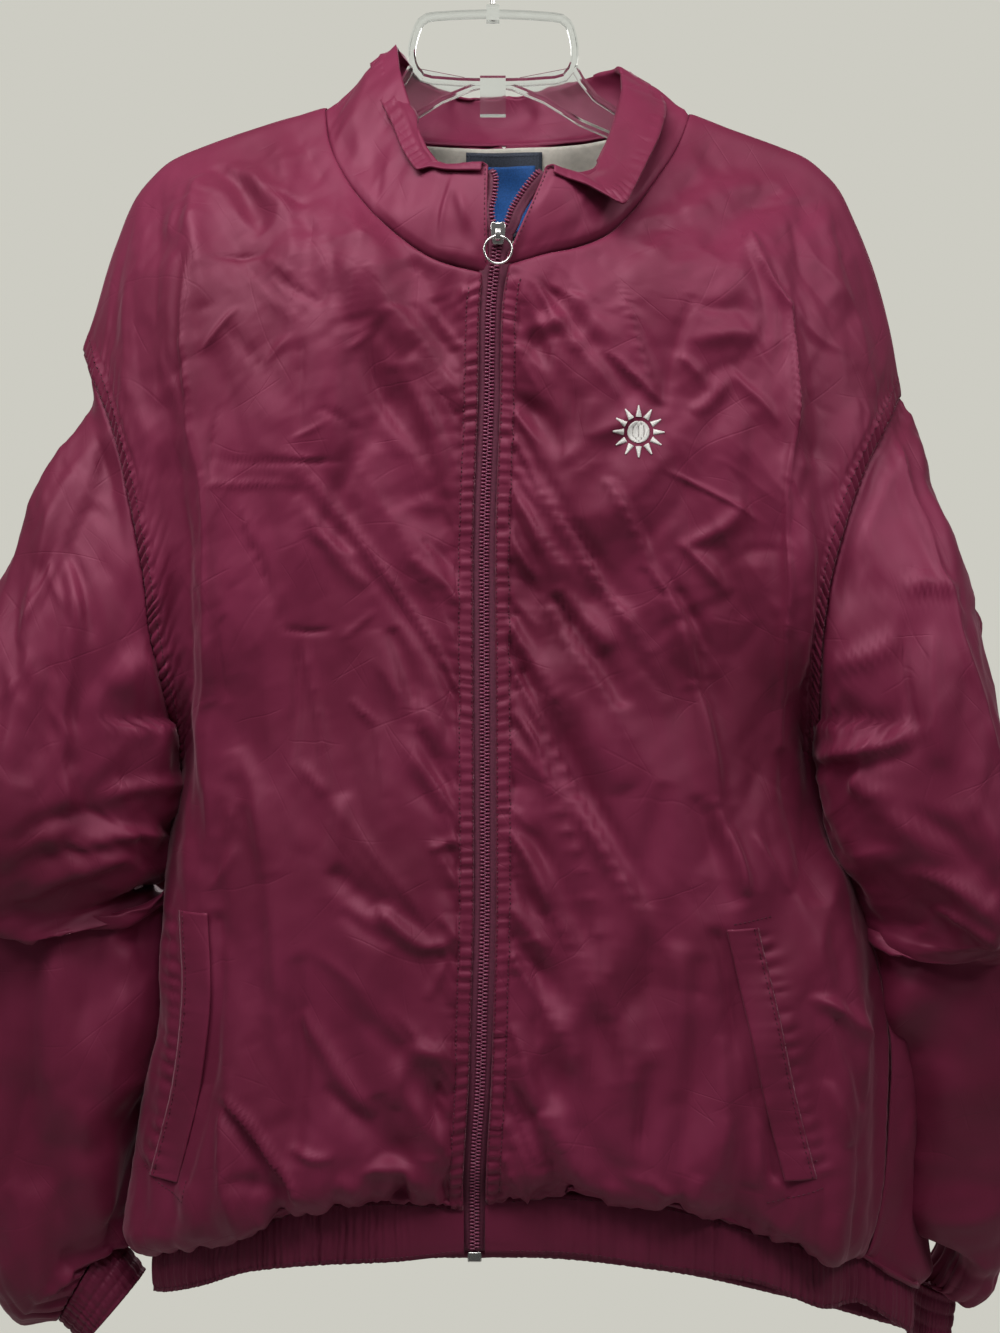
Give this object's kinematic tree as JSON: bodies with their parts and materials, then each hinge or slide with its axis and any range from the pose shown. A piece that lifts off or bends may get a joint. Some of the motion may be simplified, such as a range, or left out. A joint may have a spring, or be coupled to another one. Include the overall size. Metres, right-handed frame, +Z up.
{
  "type": "stand-collar zip windbreaker on a clear plastic hanger",
  "caption": "Nylon zip-front windbreaker with stand collar, elastic hem and cuffs, hanging on a clear plastic hanger with a wire hook.",
  "frame": {"origin": "inner top of the hanger's hook, where a rail carries it", "axes": "+Z up, +X to the right seen from the front, the garment's front faces -Y"},
  "size_m": [0.7882, 0.2133, 1.0555],
  "materials": {
    "nylon": "maroon satin nylon taffeta, soft sheen",
    "elastic": "maroon nylon gathered over elastic",
    "zip_tape": "maroon woven tape with moulded teeth",
    "lining": "off-white brushed lining",
    "label": "blank woven label",
    "metal": "bright silver metal",
    "clear_plastic": "clear moulded plastic"
  },
  "bodies": {
    "garment": {"front_left": "nylon", "front_right": "nylon", "back": "nylon", "sleeve_left": "nylon", "sleeve_right": "nylon", "collar": "nylon", "hem_band": "elastic", "cuff_left": "elastic", "cuff_right": "elastic", "pocket_welt_left": "nylon", "pocket_welt_right": "nylon", "lining_back_neck": "lining", "neck_label": "label", "zip_tape_left": "zip_tape", "zip_tape_right": "zip_tape", "zip_box": "metal", "zip_slider": "metal", "hanger_body": "clear_plastic", "hanger_hook": "metal"},
    "pull": {"zip_pull": "metal"}
  },
  "joints": [
    {"name": "pull_swing", "type": "hinge", "parent": "garment", "child": "pull", "pos_m": [0.0037, -0.08693, -0.2616], "axis": [-1, 0, 0], "range_deg": [0, 150]}
  ]
}
